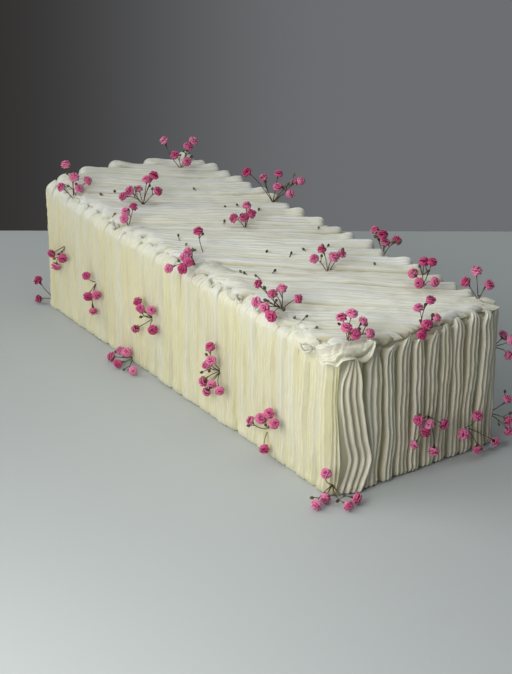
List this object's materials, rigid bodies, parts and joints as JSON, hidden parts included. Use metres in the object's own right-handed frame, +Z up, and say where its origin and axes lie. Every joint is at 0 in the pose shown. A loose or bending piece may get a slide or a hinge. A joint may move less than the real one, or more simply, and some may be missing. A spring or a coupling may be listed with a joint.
{
  "type": "buttercream loaf cake",
  "caption": "Long loaf cake piped all over in ridged ribbons of pale buttercream and dotted with sprigs of small pink blossoms; stands flat on its base.",
  "frame": {"origin": "middle of the flat base, under the middle of the iced loaf", "axes": "+X runs along the loaf towards the near end, +Y points from the front long side to the back one, +Z is up"},
  "size_m": [0.3959, 0.1632, 0.1283],
  "materials": {
    "icing": "pale cream buttercream, smooth with a soft sheen, piped in fine ridges",
    "blossoms": "dyed pink petals on brown-green stems, matte"
  },
  "bodies": {
    "root": {"cake": "icing", "sprig_back_1": "blossoms", "sprig_back_2": "blossoms", "sprig_back_3": "blossoms", "sprig_back_4": "blossoms", "sprig_back_5": "blossoms", "sprig_back_6": "blossoms", "sprig_end_1": "blossoms", "sprig_end_2": "blossoms", "sprig_far_1": "blossoms", "sprig_far_2": "blossoms", "sprig_foot_1": "blossoms", "sprig_foot_2": "blossoms", "sprig_foot_3": "blossoms", "sprig_side_1": "blossoms", "sprig_side_2": "blossoms", "sprig_side_3": "blossoms", "sprig_side_4": "blossoms", "sprig_side_5": "blossoms", "sprig_top_1": "blossoms", "sprig_top_10": "blossoms", "sprig_top_11": "blossoms", "sprig_top_12": "blossoms", "sprig_top_13": "blossoms", "sprig_top_14": "blossoms", "sprig_top_15": "blossoms", "sprig_top_2": "blossoms", "sprig_top_3": "blossoms", "sprig_top_4": "blossoms", "sprig_top_5": "blossoms", "sprig_top_6": "blossoms", "sprig_top_7": "blossoms", "sprig_top_8": "blossoms", "sprig_top_9": "blossoms"}
  },
  "joints": []
}
